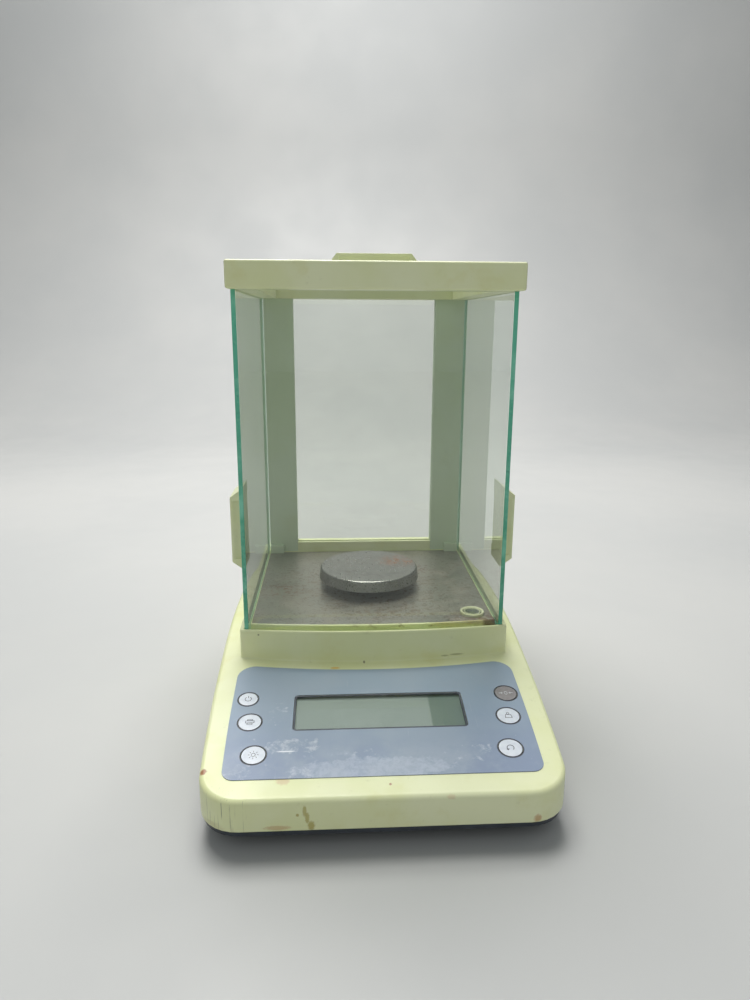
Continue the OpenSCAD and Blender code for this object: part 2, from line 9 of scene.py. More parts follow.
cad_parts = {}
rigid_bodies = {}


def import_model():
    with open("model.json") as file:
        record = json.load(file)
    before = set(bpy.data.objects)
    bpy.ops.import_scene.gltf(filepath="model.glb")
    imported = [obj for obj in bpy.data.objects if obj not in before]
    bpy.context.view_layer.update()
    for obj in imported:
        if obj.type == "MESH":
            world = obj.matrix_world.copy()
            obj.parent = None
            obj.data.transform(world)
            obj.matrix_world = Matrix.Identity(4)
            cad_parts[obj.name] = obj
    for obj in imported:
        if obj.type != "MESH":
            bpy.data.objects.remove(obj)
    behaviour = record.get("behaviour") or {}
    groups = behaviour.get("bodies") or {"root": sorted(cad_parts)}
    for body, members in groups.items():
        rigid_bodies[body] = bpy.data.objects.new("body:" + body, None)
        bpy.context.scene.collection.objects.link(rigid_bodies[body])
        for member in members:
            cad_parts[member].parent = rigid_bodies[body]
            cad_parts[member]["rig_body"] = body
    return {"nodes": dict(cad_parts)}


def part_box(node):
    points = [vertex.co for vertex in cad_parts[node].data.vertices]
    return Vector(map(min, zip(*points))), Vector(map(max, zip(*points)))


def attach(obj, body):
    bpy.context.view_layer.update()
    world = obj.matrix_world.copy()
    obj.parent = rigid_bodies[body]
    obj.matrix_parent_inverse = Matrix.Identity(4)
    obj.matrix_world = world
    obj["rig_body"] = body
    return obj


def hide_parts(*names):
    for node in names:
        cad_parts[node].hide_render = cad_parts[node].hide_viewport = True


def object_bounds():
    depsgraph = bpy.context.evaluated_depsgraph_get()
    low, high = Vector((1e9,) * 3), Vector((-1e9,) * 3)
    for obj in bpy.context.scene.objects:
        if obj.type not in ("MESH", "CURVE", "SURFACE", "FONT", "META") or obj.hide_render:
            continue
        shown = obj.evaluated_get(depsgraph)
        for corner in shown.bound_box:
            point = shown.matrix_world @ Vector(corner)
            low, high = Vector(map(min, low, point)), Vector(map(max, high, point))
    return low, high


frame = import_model()
CAD_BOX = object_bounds()
MM = 0.001


# ---- Camera: the photograph's viewpoint, fitted to the straight edges of the draft shield ----

CAMERA_AT = (-0.02778, -0.51529, 0.29374)
CAMERA_TURN = (3.31, 14.01, 0.31)  # degrees to the right, down, and round the line of sight
CAMERA_LENS, CAMERA_SENSOR = 25.545, 36  # millimetres


def make_camera():
    yaw, pitch, roll = (math.radians(a) for a in CAMERA_TURN)
    ahead = Vector((math.sin(yaw) * math.cos(pitch), math.cos(yaw) * math.cos(pitch), -math.sin(pitch)))
    flat_right = Vector((math.cos(yaw), -math.sin(yaw), 0))
    flat_up = flat_right.cross(ahead)
    right = flat_right * math.cos(roll) + flat_up * math.sin(roll)
    up = flat_up * math.cos(roll) - flat_right * math.sin(roll)
    data = bpy.data.cameras.new("camera")
    data.lens, data.sensor_width = CAMERA_LENS, CAMERA_SENSOR
    data.clip_start, data.clip_end = 0.02, 30
    camera = bpy.data.objects.new("camera", data)
    camera.matrix_world = Matrix.Translation(CAMERA_AT) @ Matrix((right, up, -ahead)).transposed().to_4x4()
    bpy.context.scene.collection.objects.link(camera)
    bpy.context.scene.camera = camera


make_camera()


# ---- Materials ----

def srgb(r, g, b):
    """Linear colour, with full alpha, of an sRGB value given in 0 to 255."""
    parts = (c / 255 for c in (r, g, b))
    return tuple(c / 12.92 if c <= 0.04045 else ((c + 0.055) / 1.055) ** 2.4 for c in parts) + (1.0,)


class Look:
    """A procedural material, put together from small node steps."""

    def __init__(self, name):
        self.material = bpy.data.materials.new(name)
        self.material.use_nodes = True
        self.tree = self.material.node_tree
        self.shader = self.tree.nodes["Principled BSDF"]
        self.output = self.tree.nodes["Material Output"]
        self.place = self.node("ShaderNodeTexCoord").outputs["Object"]

    def node(self, kind, values=(), **props):
        made = self.tree.nodes.new(kind)
        for key, value in props.items():
            setattr(made, key, value)
        for index, value in dict(values).items():
            self.put(made.inputs[index], value)
        return made

    def put(self, socket, value):
        if isinstance(value, bpy.types.NodeSocket):
            self.tree.links.new(value, socket)
        elif value is not None:
            socket.default_value = value

    def set(self, **values):
        for key, value in values.items():
            self.put(self.shader.inputs[key.replace("_", " ")], value)
        return self

    def math(self, operation, a, b=None):
        return self.node("ShaderNodeMath", {0: a, 1: b}, operation=operation).outputs[0]

    def stretched(self, scale, turn=(0, 0, 0)):
        return self.node("ShaderNodeMapping", {"Vector": self.place, "Scale": scale, "Rotation": turn}).outputs[0]

    def noise(self, scale, detail=3.0, rough=0.55, place=None, warp=0.0):
        return self.node("ShaderNodeTexNoise", {"Vector": place or self.place, "Scale": scale, "Detail": detail,
                                                "Roughness": rough, "Distortion": warp}).outputs["Fac"]

    def band(self, value, low, high, to_low=0.0, to_high=1.0):
        return self.node("ShaderNodeMapRange", {"Value": value, "From Min": low, "From Max": high, "To Min": to_low,
                                                "To Max": to_high}, interpolation_type="SMOOTHSTEP").outputs[0]

    def mix(self, factor, a, b, blend="MIX"):
        return self.node("ShaderNodeMix", {0: factor, 6: a, 7: b}, data_type="RGBA", blend_type=blend).outputs[2]

    def axis(self, name):
        return self.node("ShaderNodeSeparateXYZ", {0: self.place}).outputs[name]

    def spot(self, centre, radii, ragged=0.0, edge=0.35):
        """1 inside an ellipsoid given in millimetres, 0 outside it, with a soft and ragged edge."""
        away = self.node("ShaderNodeVectorMath", {0: self.place, 1: [c * MM for c in centre]}, operation="SUBTRACT")
        scaled = self.node("ShaderNodeVectorMath", {0: away.outputs[0], 1: [1 / (r * MM) for r in radii]},
                           operation="MULTIPLY")
        far = self.node("ShaderNodeVectorMath", {0: scaled.outputs[0]}, operation="LENGTH").outputs["Value"]
        if ragged:
            wander = self.math("SUBTRACT", self.noise(1.6 / (min(radii) * MM), 4), 0.5)
            far = self.math("ADD", far, self.math("MULTIPLY", wander, 2 * ragged))
        return self.band(far, 1 - edge, 1 + edge, 1.0, 0.0)

    def bump(self, height, depth_mm, strength=1.0):
        self.put(self.shader.inputs["Normal"], self.node("ShaderNodeBump", {
            "Height": height, "Distance": depth_mm * MM, "Strength": strength}).outputs[0])
        return self


PLASTIC = srgb(229, 233, 180)
PLASTIC_AGED = srgb(222, 221, 156)
PLASTIC_PALE = srgb(235, 238, 196)


def moulded(name, stains=(), grime=(), cool=0.0):
    """Moulded lime-cream plastic: fine spark texture, ageing in broad clouds, scuffs and specks."""
    k = Look(name)
    cloud = k.band(k.noise(16, 4), 0.38, 0.66)
    colour = k.mix(cloud, PLASTIC, PLASTIC_PALE)
    colour = k.mix(k.math("MULTIPLY", k.band(k.noise(38, 5, 0.6), 0.52, 0.72), 0.45), colour, PLASTIC_AGED)
    dirt = k.math("MULTIPLY", k.band(k.noise(120, 6, 0.7), 0.6, 0.74), 0.16)
    colour = k.mix(dirt, colour, srgb(150, 146, 98))
    specks = k.band(k.noise(760, 2), 0.79, 0.84)
    colour = k.mix(k.math("MULTIPLY", specks, 0.6), colour, srgb(92, 80, 46))
    if cool:
        colour = k.mix(cool, colour, srgb(170, 204, 200))
    for centre, radii, tone, strength in stains:
        colour = k.mix(k.math("MULTIPLY", k.spot(centre, radii, 0.45), strength), colour, srgb(*tone))
    for centre, radii, stretch, low, tone, strength in grime:
        streak = k.band(k.noise(1, 4, 0.65, k.stretched(stretch)), low, low + 0.09)
        mask = k.math("MULTIPLY", streak, k.spot(centre, radii, 0.2, 0.5))
        colour = k.mix(k.math("MULTIPLY", mask, strength), colour, srgb(*tone))
    rough = k.math("ADD", k.band(k.noise(55, 5), 0.3, 0.7, 0.34, 0.46), k.math("MULTIPLY", dirt, 0.6))
    k.set(Base_Color=colour, Roughness=rough, IOR=1.5, Coat_Weight=0.12, Coat_Roughness=0.18)
    k.bump(k.math("ADD", k.noise(1500, 2), k.math("MULTIPLY", k.noise(140, 3), 0.5)), 0.035, 0.5)
    return k.material


# Stains, streaks and wear: centre and radii in millimetres, colour in sRGB, then strength.
RUST, TAN, OLIVE, DARK = (150, 70, 26), (196, 150, 96), (168, 150, 40), (84, 76, 52)
SHELL_STAINS = [
    ((-106.1, -147.2, 39.6), (2.0, 2.2, 3.0), RUST, 0.85), ((-28.9, -53.9, 55.6), (3.2, 1.1, 3), (226, 176, 52), 0.7),
    ((-59.2, -155.8, 37.6), (3.6, 2.8, 3), (205, 158, 118), 0.42), ((2.5, -160.5, 37), (0.8, 0.8, 2), RUST, 0.8),
    ((-46.4, -170, 28), (1.1, 3, 3.4), OLIVE, 0.6), ((-45, -170, 23.5), (1.2, 3, 3.4), OLIVE, 0.62),
    ((-42.8, -170, 18.5), (1.9, 3, 2.8), OLIVE, 0.7), ((-50.5, -170, 25.5), (0.9, 2, 0.9), OLIVE, 0.7),
    ((-62, -170, 17.6), (7, 3, 1.4), TAN, 0.5), ((87, -168.5, 18), (2.2, 4, 2.6), (186, 122, 50), 0.6),
    ((60, -46, 59.6), (5.5, 3, 0.8), (128, 122, 66), 0.55), ((51, -46.6, 59), (3, 3, 0.7), (128, 122, 66), 0.5),
    ((-83.5, -44, 76.6), (0.9, 3, 0.9), DARK, 0.75), ((-8, -47.4, 56.4), (0.8, 2, 0.9), DARK, 0.7),
    ((36.5, -170.2, 34), (2.4, 2, 1.4), (222, 200, 160), 0.5), ((-106, -152, 41), (0.8, 1, 0.8), DARK, 0.7),
    ((80, -30, 80), (14, 5, 4), (150, 104, 60), 0.5), ((88, -31, 79), (7, 6, 5), (92, 52, 26), 0.9),
    ((62, -34, 79.6), (20, 3.5, 4), (196, 176, 112), 0.5), ((-96, -160, 17), (8, 8, 3), (176, 166, 110), 0.4),
]
# Streaks also have the stretch of their noise, and the level above which it shows.
SHELL_GRIME = [
    ((-93, -165, 27), (9, 9, 14), (900, 900, 26), 0.6, (70, 74, 56), 0.75),
    ((-79, -170, 27), (4, 4, 14), (800, 300, 22), 0.62, (96, 98, 74), 0.55),
    ((40, -35, 80), (56, 4, 3), (90, 260, 200), 0.56, (120, 92, 54), 0.7),
    ((-50, -35, 80), (44, 4, 3), (90, 260, 200), 0.62, (150, 124, 70), 0.5),
]


def metal(name, base, rough, stretch, stains=(), depth=0.012, dull=None, dust=0.0):
    """Brushed or satin metal: fine stretched grain, handling marks and stains that kill the shine."""
    k = Look(name)
    grain = k.noise(1, 3, 0.6, k.stretched(stretch))
    tone = k.mix(grain, [c * 0.82 for c in base[:3]] + [1], base)
    marks = k.band(k.noise(46, 6, 0.68, warp=0.6), 0.5, 0.7)
    tone = k.mix(k.math("MULTIPLY", marks, 0.5), tone, dull or [c * 0.55 for c in base[:3]] + [1])
    shine, rusty = 1.0, None
    for centre, radii, colour, strength, low in stains:
        mask = k.math("MULTIPLY", k.spot(centre, radii, 0.3, 0.6), k.band(k.noise(260, 6, 0.75), low, low + 0.13))
        mask = k.math("MULTIPLY", mask, strength)
        tone = k.mix(mask, tone, srgb(*colour))
        rusty = mask if rusty is None else k.math("MAXIMUM", rusty, mask)
    if dust:
        film = k.math("ADD", k.band(k.noise(480, 3, 0.7), 0.5, 0.68), k.band(k.noise(48, 7, 0.72), 0.42, 0.7))
        film = k.math("MULTIPLY", film, dust)
        tone = k.mix(film, tone, srgb(150, 142, 128))
        tone = k.mix(k.math("MULTIPLY", k.band(k.noise(620, 2), 0.6, 0.7), 0.6), tone, srgb(70, 64, 56))
        rusty = k.math("MAXIMUM", rusty, film)
    if rusty is not None:
        shine = k.math("SUBTRACT", 1.0, rusty)
    roughness = k.math("ADD", k.band(grain, 0.2, 0.8, rough - 0.06, rough + 0.07), k.math("MULTIPLY", marks, 0.12))
    k.set(Base_Color=tone, Metallic=shine, Roughness=roughness, IOR=1.5)
    k.bump(k.math("ADD", grain, k.math("MULTIPLY", k.noise(420, 4), 0.8)), depth, 0.6)
    return k.material


def simple(name, base, second, rough, scale=180, grain=1200, depth=0.02, **more):
    """A worn, faintly mottled finish: two tones, uneven gloss and a fine surface grain."""
    k = Look(name)
    tone = k.mix(k.band(k.noise(scale, 5, 0.62), 0.36, 0.68), srgb(*base), srgb(*second))
    k.set(Base_Color=tone, Roughness=k.band(k.noise(scale * 0.6, 4), 0.3, 0.7, rough - 0.06, rough + 0.08), **more)
    k.bump(k.math("ADD", k.noise(grain, 2), k.math("MULTIPLY", k.noise(scale, 4), 0.4)), depth, 0.5)
    return k.material


def clear(name, tint, smear, rough=0.0, fresnel=1.5):
    """Thin clear sheet: tinted see-through, mirror reflections by angle, and a little dust and smear."""
    k = Look(name)
    through = k.node("ShaderNodeBsdfTransparent", {"Color": (*tint, 1)})
    gloss = k.node("ShaderNodeBsdfGlossy", {"Color": (0.96, 1.0, 0.98, 1), "Roughness": rough})
    dust = k.node("ShaderNodeBsdfDiffuse", {"Color": srgb(205, 214, 206)})
    cover = k.math("MULTIPLY", k.band(k.noise(26, 6, 0.7, warp=1.2), 0.46, 0.8), smear)
    cover = k.math("ADD", cover, k.math("MULTIPLY", k.band(k.noise(900, 2), 0.74, 0.8), smear * 3))
    mirror = k.node("ShaderNodeFresnel", {"IOR": fresnel}).outputs[0]
    both_faces = k.math("DIVIDE", k.math("MULTIPLY", mirror, 2.0), k.math("ADD", mirror, 1.0))
    entering = k.math("SUBTRACT", 1.0, k.node("ShaderNodeNewGeometry").outputs["Backfacing"])
    glass = k.node("ShaderNodeMixShader", {0: k.math("MULTIPLY", both_faces, entering),
                                           1: through.outputs[0], 2: gloss.outputs[0]})
    sheet = k.node("ShaderNodeMixShader", {0: cover, 1: glass.outputs[0], 2: dust.outputs[0]})
    k.tree.nodes.remove(k.shader)
    k.put(k.output.inputs["Surface"], sheet.outputs[0])
    return k.material


def overlay_look():
    """Blue-grey membrane film: broad tone drift, a pale worn field in front, flaky chalk round it, scratches."""
    k = Look("membrane_film")
    y = k.axis("Y")
    colour = k.mix(k.band(y, -0.155, -0.075), srgb(136, 151, 177), srgb(144, 162, 181))
    colour = k.mix(k.math("MULTIPLY", k.band(k.noise(20, 4), 0.4, 0.66), 0.5), colour, srgb(154, 167, 182))
    flakes = k.math("SUBTRACT", k.noise(130, 9, 0.72, warp=0.3), 0.5)
    field, flaky = [], []
    for centre, radii, amount, kind in FILM_WEAR:
        worn = k.math("MULTIPLY", k.spot(centre, radii, 0.5, 0.5), amount)
        (field if kind == "field" else flaky).append(worn)
    kinds = ((field, srgb(184, 193, 210), 0.66, 2.0), (flaky, srgb(206, 212, 220), 0.78, 2.6))
    for wear, tone, strength, reach in kinds:
        most = wear[0]
        for other in wear[1:]:
            most = k.math("MAXIMUM", most, other)
        mask = k.band(k.math("ADD", most, k.math("MULTIPLY", flakes, reach)), 0.44, 0.84)
        mask = k.math("MULTIPLY", mask, k.band(most, 0.02, 0.2))
        mask = k.math("MULTIPLY", mask, k.band(k.noise(300, 7, 0.75), 0.38, 0.58, 0.4, 1.0))
        colour = k.mix(k.math("MULTIPLY", mask, strength), colour, tone)
    haze = k.math("MULTIPLY", k.band(y, -0.145, -0.12, 1.0, 0.0), k.band(k.noise(40, 6, 0.7), 0.42, 0.66))
    colour = k.mix(k.math("MULTIPLY", haze, 0.3), colour, srgb(176, 184, 198))
    for turn in (0.5, -0.9, 1.3):
        scratch = k.band(k.noise(1, 2, 0.5, k.stretched((1500, 26, 30), (0, 0, turn))), 0.74, 0.8)
        colour = k.mix(k.math("MULTIPLY", scratch, 0.3), colour, srgb(196, 203, 214))
    colour = k.mix(k.spot((-58.8, -133.3, 41.6), (5.5, 0.55, 3), 0.1), colour, srgb(232, 236, 242))
    specks = k.math("MULTIPLY", k.band(k.noise(700, 2), 0.75, 0.8), 0.6)
    colour = k.mix(specks, colour, srgb(208, 213, 220))
    rough = k.math("ADD", k.band(k.noise(60, 4), 0.3, 0.7, 0.34, 0.44), k.math("MULTIPLY", mask, 0.2))
    k.set(Base_Color=colour, Roughness=rough, IOR=1.45)
    k.bump(k.math("ADD", k.noise(1900, 2), mask), 0.012, 0.5)
    return k.material


def display_look():
    """Grey-green display film behind its window, with the faint mesh of its cells and a painted reflection that darkens
    its right end.
    """
    k = Look("display_film")
    tone = k.mix(k.band(k.noise(20, 3), 0.35, 0.65), srgb(168, 178, 174), srgb(174, 183, 180))
    x = k.axis("X")
    # painted reflection: the right end of the film is darkened and greened as if a dark reflection lay across it
    tone = k.mix(k.band(x, 0.0325, 0.0345, 0.0, 0.72), tone, srgb(96, 120, 112))
    mesh = k.node("ShaderNodeTexBrick", {"Vector": k.place, "Scale": 900.0, "Mortar Size": 0.06,
                                         "Color1": (1, 1, 1, 1), "Color2": (0.97, 0.97, 0.97, 1),
                                         "Mortar": (0.9, 0.9, 0.9, 1)}).outputs[0]
    tone = k.mix(0.5, tone, mesh, "MULTIPLY")
    k.set(Base_Color=tone, Roughness=k.band(k.noise(90, 3), 0.3, 0.7, 0.34, 0.42), IOR=1.45)
    k.bump(k.noise(1600, 2), 0.01, 0.4)
    return k.material


def edge_look():
    """Ground glass edge: deep teal, darker low down, with painted highlights in light patches and fine grinding marks
    across it.
    """
    k = Look("glass_edge")
    tone = k.mix(k.band(k.axis("Z"), 0.09, 0.3), srgb(84, 170, 138), srgb(104, 196, 164))
    # painted highlight: light teal patches of noise stand in for glints on the ground edge
    tone = k.mix(k.band(k.noise(60, 4), 0.45, 0.75), tone, srgb(140, 216, 188))
    tone = k.mix(k.math("MULTIPLY", k.band(k.noise(240, 5), 0.6, 0.72), 0.5), tone, srgb(56, 128, 104))
    k.set(Base_Color=tone, Roughness=k.band(k.noise(300, 3), 0.3, 0.7, 0.12, 0.3), IOR=1.52)
    k.bump(k.noise(1, 3, 0.6, k.stretched((2200, 2200, 300))), 0.02, 0.5)
    return k.material


# Worn spots of the film: centre, radii, how far gone, and which kind of wear.
FILM_WEAR = [
    ((-10, -149.5, 39), (46, 10.5, 9), 1.0, "field"), ((18, -146, 39), (26, 7, 9), 0.8, "field"),
    ((-30, -139, 40), (24, 5, 9), 0.5, "field"), ((-55, -129, 42), (20, 7, 9), 0.62, "flaky"),
    ((-66, -97, 48), (6, 15, 9), 0.5, "flaky"), ((50, -140, 40), (20, 5, 9), 0.46, "flaky"),
    ((62, -135, 41), (12, 5, 9), 0.46, "flaky"), ((-82, -147, 39), (16, 9, 9), 0.4, "flaky"),
    ((-50, -150, 39), (16, 7, 9), 0.46, "flaky"), ((10, -136, 41), (52, 5, 9), 0.3, "flaky"),
    ((-84, -122, 43), (7, 16, 9), 0.26, "flaky"),
]
# Stains on metal end with the noise level above which they show.
PLATE_STAINS = [
    ((0, 51, 80), (62, 56, 9), (112, 74, 42), 0.75, 0.5), ((78, -26, 80), (20, 12, 9), (104, 58, 28), 0.95, 0.42),
    ((34, 82, 80), (22, 12, 9), (96, 54, 30), 0.9, 0.47), ((-72, 36, 80), (14, 14, 9), (120, 70, 46), 0.8, 0.46),
    ((20, -14, 80), (34, 12, 9), (128, 96, 62), 0.6, 0.48), ((0, 50, 80), (100, 110, 9), (76, 70, 58), 0.6, 0.53),
]
PAN_STAINS = [
    ((27, 62, 95.7), (16, 12, 5), (150, 92, 50), 0.9, 0.44), ((-20, 60, 95.7), (26, 18, 5), (112, 100, 88), 0.6, 0.5),
    ((-14, 30, 95.7), (22, 10, 5), (96, 88, 78), 0.6, 0.52), ((0, 51, 95.7), (42, 42, 5), (92, 84, 74), 0.45, 0.56),
]
LOOK = {
    "shell": moulded("moulded_shell", SHELL_STAINS, SHELL_GRIME),
    "plastic": moulded("moulded_plastic"),
    "post": moulded("moulded_post", cool=0.45),
    "tray": simple("tray_paint", (50, 57, 66), (38, 44, 52), 0.42, 90, 700),
    "overlay": overlay_look(),
    # the film's cut edges are painted dark: painted shade of the shallow recess round the film
    "overlay_edge": simple("film_edge_shade", (52, 60, 74), (36, 40, 50), 0.5),
    "key_white": simple("key_white", (226, 231, 240), (214, 220, 231), 0.36, 260, 1500, 0.012),
    "key_grey": simple("key_grey", (146, 141, 142), (134, 129, 130), 0.36, 260, 1500, 0.012),
    "ink_dark": simple("ink_dark", (60, 62, 74), (78, 80, 92), 0.45, 400),
    "ink_light": simple("ink_light", (224, 226, 230), (204, 206, 212), 0.45, 400),
    "black": simple("black_plastic", (22, 22, 24), (32, 32, 34), 0.45, 160, 900),
    "bezel": simple("display_bezel", (70, 76, 90), (56, 61, 72), 0.45, 160, 900),
    "display": display_look(),
    "window": clear("display_window", (0.95, 0.965, 0.955), 0.03, 0.02, 1.42),
    "glass": clear("pane_glass", (0.93, 0.94, 0.925), 0.022),
    "glass_edge": edge_look(),
    "board": simple("circuit_board", (24, 92, 54), (18, 74, 44), 0.4, 220, 900, 0.03),
    "plate": metal("satin_plate", srgb(170, 168, 158), 0.36, (160, 900, 300), PLATE_STAINS, 0.014,
                   srgb(112, 107, 96), 0.62),
    "pan": metal("pan_steel", srgb(158, 157, 152), 0.3, (900, 120, 700), PAN_STAINS, 0.01,
                 srgb(118, 117, 112)),
    "steel": metal("bright_steel", srgb(178, 178, 174), 0.28, (700, 700, 90)),
    "cast": metal("cast_alloy", srgb(172, 174, 178), 0.46, (320, 320, 320), (), 0.05),
    "copper": metal("coil_copper", srgb(196, 116, 70), 0.32, (60, 60, 4200), (), 0.03),
    "yoke": metal("yoke_iron", srgb(126, 128, 132), 0.4, (400, 400, 400), (), 0.03),
    "former": simple("former_plastic", (214, 206, 178), (196, 188, 158), 0.4),
    "level": simple("level_plastic", (222, 224, 186), (208, 210, 168), 0.3, 120, Coat_Weight=0.4),
    "liquid": clear("level_liquid", (0.93, 0.97, 0.86), 0.3, 0.0, 1.4),
    "rubber": simple("foot_rubber", (26, 26, 27), (38, 37, 36), 0.75, 200, 900, 0.05),
    "panel": simple("panel_paint", (172, 176, 172), (156, 160, 156), 0.48, 60, 1100, 0.03),
}


# ---- Mesh helpers ----

def set_normals(mesh, limit):
    """Corner normals: the mean, by area, of the faces at the corner that turn by less than the limit."""
    around = [[] for _ in mesh.vertices]
    faces = [(f.normal.copy(), f.normal * f.area) for f in mesh.polygons]
    for face in mesh.polygons:
        for v in face.vertices:
            around[v].append(face.index)
    close = math.cos(math.radians(limit))
    normals = []
    for face in mesh.polygons:
        own = faces[face.index][0]
        for v in face.vertices:
            total = sum((faces[i][1] for i in around[v] if faces[i][0].dot(own) > close), Vector())
            normals.append(total.normalized() if total.length > 0 else own)
    mesh.normals_split_custom_set(normals)


WELD = 3e-6  # points closer than this are one point


def finish_mesh(bm, name, looks, body, nodes=(), smooth=32):
    """Turns a bmesh into a piece of the model that rides on its body and stands for its CAD nodes."""
    bmesh.ops.dissolve_degenerate(bm, dist=WELD, edges=bm.edges)
    bmesh.ops.recalc_face_normals(bm, faces=bm.faces)
    mesh = bpy.data.meshes.new(name)
    bm.to_mesh(mesh)
    bm.free()
    for look in looks:
        mesh.materials.append(LOOK[look])
    mesh.polygons.foreach_set("use_smooth", [True] * len(mesh.polygons))
    set_normals(mesh, smooth)
    piece = bpy.data.objects.new(name, mesh)
    bpy.context.scene.collection.objects.link(piece)
    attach(piece, body)
    if nodes:
        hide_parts(*nodes)


def cad_copy(node):
    """A welded copy of a CAD node's mesh, with its flat faces made whole."""
    bm = bmesh.new()
    bm.from_mesh(frame["nodes"][node].data)
    bmesh.ops.remove_doubles(bm, verts=bm.verts, dist=WELD)
    bmesh.ops.dissolve_limit(bm, angle_limit=math.radians(0.4), verts=bm.verts, edges=bm.edges)
    return bm


def round_edges(bm, width_mm, segments=2, pick=None, angle=25, clamp=True):
    """Rounds the edges that turn by more than the angle, or those of them that pick chooses."""
    bm.normal_update()
    sharp = [e for e in bm.edges if len(e.link_faces) == 2 and e.calc_face_angle(0) > math.radians(angle)
             and (pick is None or pick(e))]
    if sharp:
        bmesh.ops.bevel(bm, geom=sharp, offset=width_mm * MM, segments=segments, profile=0.5,
                        affect="EDGES", clamp_overlap=clamp)


def body_of(node):
    return frame["nodes"][node]["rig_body"]


def refined(node, look, slot, width_mm=0.3, segments=2, name=None, **options):
    """A CAD node's shape with rounded edges, in its own material."""
    bm = cad_copy(node)
    round_edges(bm, width_mm, segments, **options)
    finish_mesh(bm, name or node + "_shape", [look], body_of(node), [node])


def spun(bm, profile, where, steps=64, material=0):
    """Adds a surface of revolution to a bmesh. The profile is (radius, height) in millimetres."""
    rings = []
    for r, z in ((r * MM, z * MM) for r, z in profile):
        if r == 0:
            rings.append([bm.verts.new(where @ Vector((0, 0, z)))])
        else:
            rings.append([bm.verts.new(where @ Vector((r * math.cos(a), r * math.sin(a), z)))
                          for a in (2 * math.pi * i / steps for i in range(steps))])
    for low, high in zip(rings, rings[1:]):
        for i in range(steps):
            j = (i + 1) % steps
            corners = [low[i % len(low)], low[j % len(low)], high[j % len(high)], high[i % len(high)]]
            corners = [c for n, c in enumerate(corners) if c not in corners[:n]]
            if len(corners) > 2:
                bm.faces.new(corners).material_index = material


def prism(bm, outline, low, high, where, material=0):
    """Adds a straight closed solid on a flat outline, given in millimetres, to a bmesh."""
    rows = [[bm.verts.new(where @ Vector((x * MM, y * MM, z * MM))) for x, y in outline] for z in (low, high)]
    faces = [bm.faces.new(rows[0][::-1]), bm.faces.new(rows[1])]
    for i in range(len(outline)):
        j = (i + 1) % len(outline)
        faces.append(bm.faces.new((rows[0][i], rows[0][j], rows[1][j], rows[1][i])))
    for face in faces:
        face.material_index = material


def rounded_rectangle(w, h, r, steps=6):
    """Outline in millimetres, centred on the origin."""
    points = []
    for n, (sx, sy) in enumerate([(1, -1), (1, 1), (-1, 1), (-1, -1)]):
        for i in range(steps + 1):
            a = math.radians(-90 + 90 * n + 90 * i / steps)
            points.append((sx * (w / 2 - r) + r * math.cos(a), sy * (h / 2 - r) + r * math.sin(a)))
    return points


def strip_ring(bm, outer, inner, low, high, where, material=0):
    """Adds a closed band between two outlines in millimetres, which have the same number of points."""
    loops = [[bm.verts.new(where @ Vector((x * MM, y * MM, z * MM))) for x, y in line]
             for line, z in ((outer, low), (outer, high), (inner, high), (inner, low))]
    for a, b in zip(loops, loops[1:] + loops[:1]):
        for i in range(len(outer)):
            j = (i + 1) % len(outer)
            bm.faces.new((a[i], a[j], b[j], b[i])).material_index = material


def arc_points(radius, start, end, steps):
    turns = [math.radians(start + (end - start) * i / steps) for i in range(steps + 1)]
    return [(radius * math.cos(a), radius * math.sin(a)) for a in turns]


def round_ring(bm, inside, outside, low, high, where, material=0):
    """Adds a flat ring between two radii in millimetres."""
    circle = arc_points(1, 0, 355, 71)
    outer, inner = ([(x * r, y * r) for x, y in circle] for r in (outside, inside))
    strip_ring(bm, outer, inner, low, high, where, material)


# ---- The control deck's own axes: X, distance up the slope, height above it ----

DECK_ANGLE = math.radians(10)
FRONT_Y = CAD_BOX[0].y
FILM = 0.4 * MM  # thickness of the overlay
overlay_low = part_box("control_overlay")[0]
film_up = (overlay_low.y + FILM * math.sin(DECK_ANGLE) - FRONT_Y) / math.cos(DECK_ANGLE)
NOSE_Z = overlay_low.z - film_up * math.sin(DECK_ANGLE)
DECK = Matrix.Translation((0, FRONT_Y, NOSE_Z)) @ Matrix.Rotation(DECK_ANGLE, 4, "X")
DECK_BACK = DECK.inverted()
DECK_UP = Vector((0, -math.sin(DECK_ANGLE), math.cos(DECK_ANGLE)))


# ---- Housing ----

PLINTH_SIDE = 97 * MM  # half the width of the plinth
RIDGE_END = 90.5 * MM  # half the width of the inner ridge, behind the front glass
NOSE_END = FRONT_Y + 20 * MM  # behind the front corners
PLINTH_Y = FRONT_Y + 120 * MM  # ahead of the plinth's bowed front
LIP_END = FRONT_Y + 134 * MM  # between the lip and the ridge
PLINTH_CORNER_END = FRONT_Y + 140 * MM
RIDGE_REAR = FRONT_Y + 142 * MM
PLINTH_TOP_END = FRONT_Y + 252 * MM
RIM_END = FRONT_Y + 270 * MM
RAIL_START = FRONT_Y + 272 * MM


